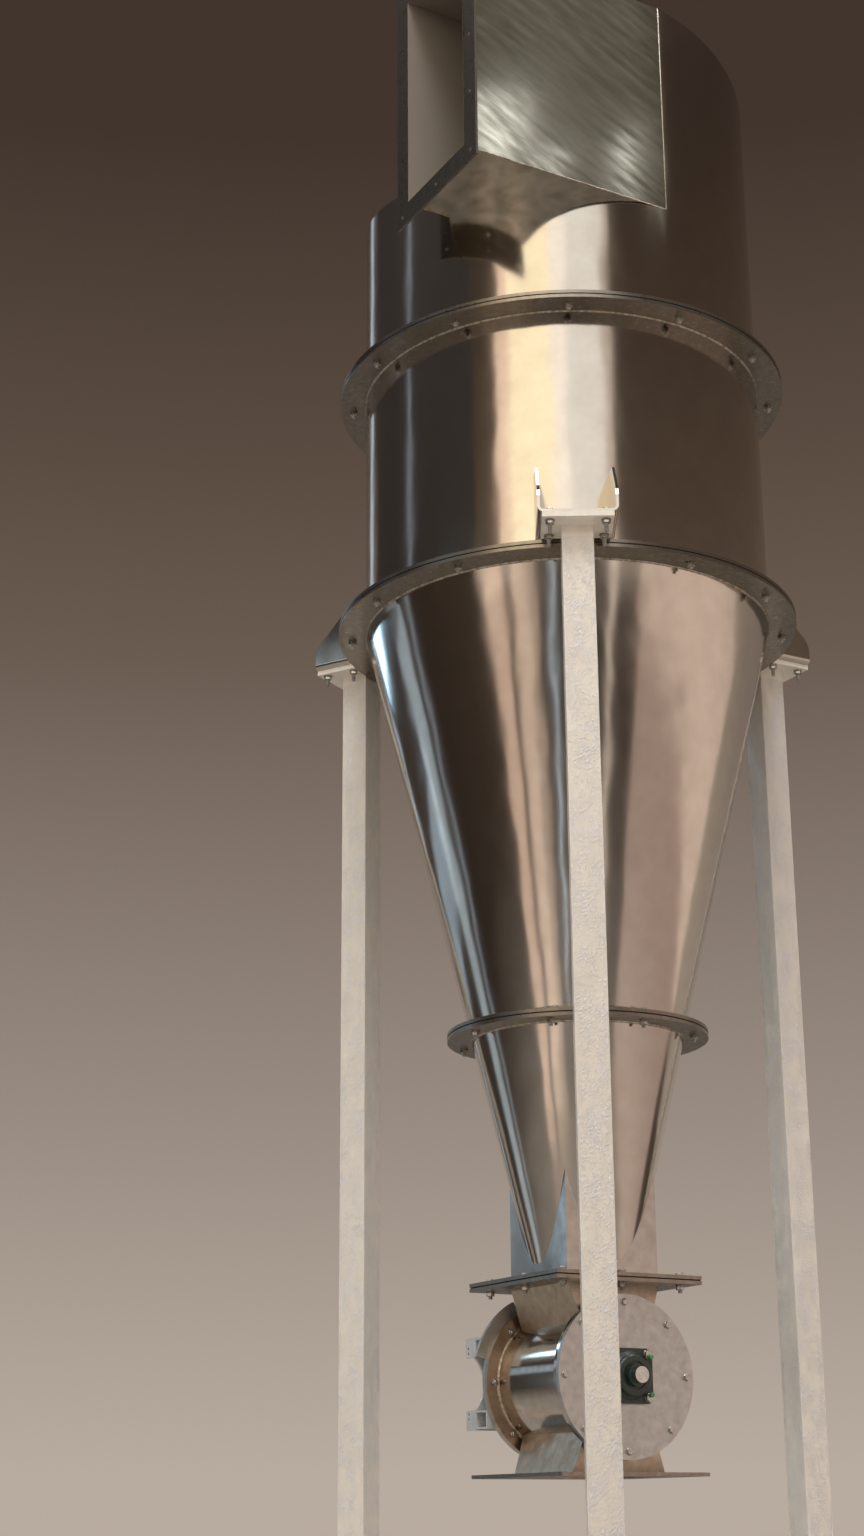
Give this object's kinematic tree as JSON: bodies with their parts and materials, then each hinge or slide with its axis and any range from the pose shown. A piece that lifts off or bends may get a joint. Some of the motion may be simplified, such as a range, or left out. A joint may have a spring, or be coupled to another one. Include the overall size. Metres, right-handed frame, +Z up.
{
  "type": "cyclone separator",
  "caption": "Tall sheet steel cyclone with a tangential inlet, helical roof, bolted cone sections and a motor driven rotary discharge valve, standing on slim legs.",
  "frame": {"origin": "on the vertical axis of the body, at the floor under the feet", "axes": "+Z up along the body's axis; the gas enters along +X at the -Y side; the valve's shaft lies along Y with its drive at +Y"},
  "size_m": [1.28, 1.3084, 5.465],
  "materials": {
    "stainless_sheet": "satin stainless sheet with fine grinding lines",
    "stainless_flange": "satin stainless flat bar",
    "gasket": "matt black rubber",
    "leg_paint": "cream paint under a clear protective film",
    "valve_casting": "satin machined steel",
    "bearing_green": "dark green painted cast iron",
    "shaft_steel": "bright turned steel",
    "rotor_steel": "satin welded steel",
    "drive_grey": "light grey cast aluminium",
    "motor_blue": "dark blue-grey paint"
  },
  "bodies": {
    "frame": {"inlet_flange": "stainless_flange", "inlet_duct": "stainless_sheet", "head_shell": "stainless_sheet", "helical_roof": "stainless_sheet", "outlet_pipe": "stainless_sheet", "outlet_flange": "stainless_flange", "head_flange": "stainless_flange", "head_gasket": "gasket", "barrel_top_flange": "stainless_flange", "barrel": "stainless_sheet", "barrel_bottom_flange": "stainless_flange", "barrel_gasket": "gasket", "cone_top_flange": "stainless_flange", "upper_cone": "stainless_sheet", "cone_bottom_flange": "stainless_flange", "neck_gasket": "gasket", "lower_cone_flange": "stainless_flange", "lower_cone": "stainless_sheet", "discharge_box": "stainless_sheet", "box_flange": "stainless_flange", "box_gasket": "gasket", "valve_top_flange": "stainless_flange", "valve_throat": "stainless_sheet", "valve_body": "valve_casting", "end_plate_free": "valve_casting", "end_plate_drive": "valve_casting", "bearing_free": "bearing_green", "bearing_drive": "bearing_green", "discharge_hopper": "stainless_sheet", "discharge_flange": "stainless_flange", "drive_bracket": "drive_grey", "gearbox": "drive_grey", "motor_flange": "drive_grey", "motor_body": "motor_blue", "fan_cover": "motor_blue", "terminal_box": "motor_blue", "support_bracket_1": "stainless_sheet", "support_bracket_2": "stainless_sheet", "support_bracket_3": "stainless_sheet", "leg_1": "leg_paint", "leg_2": "leg_paint", "leg_3": "leg_paint"},
    "rotor": {"rotor_shaft": "shaft_steel", "rotor_vanes": "rotor_steel"}
  },
  "joints": [
    {"name": "rotor_spin", "type": "hinge", "parent": "frame", "child": "rotor", "pos_m": [0, 0, 1.87], "axis": [0, 1, 0], "continuous": true}
  ]
}
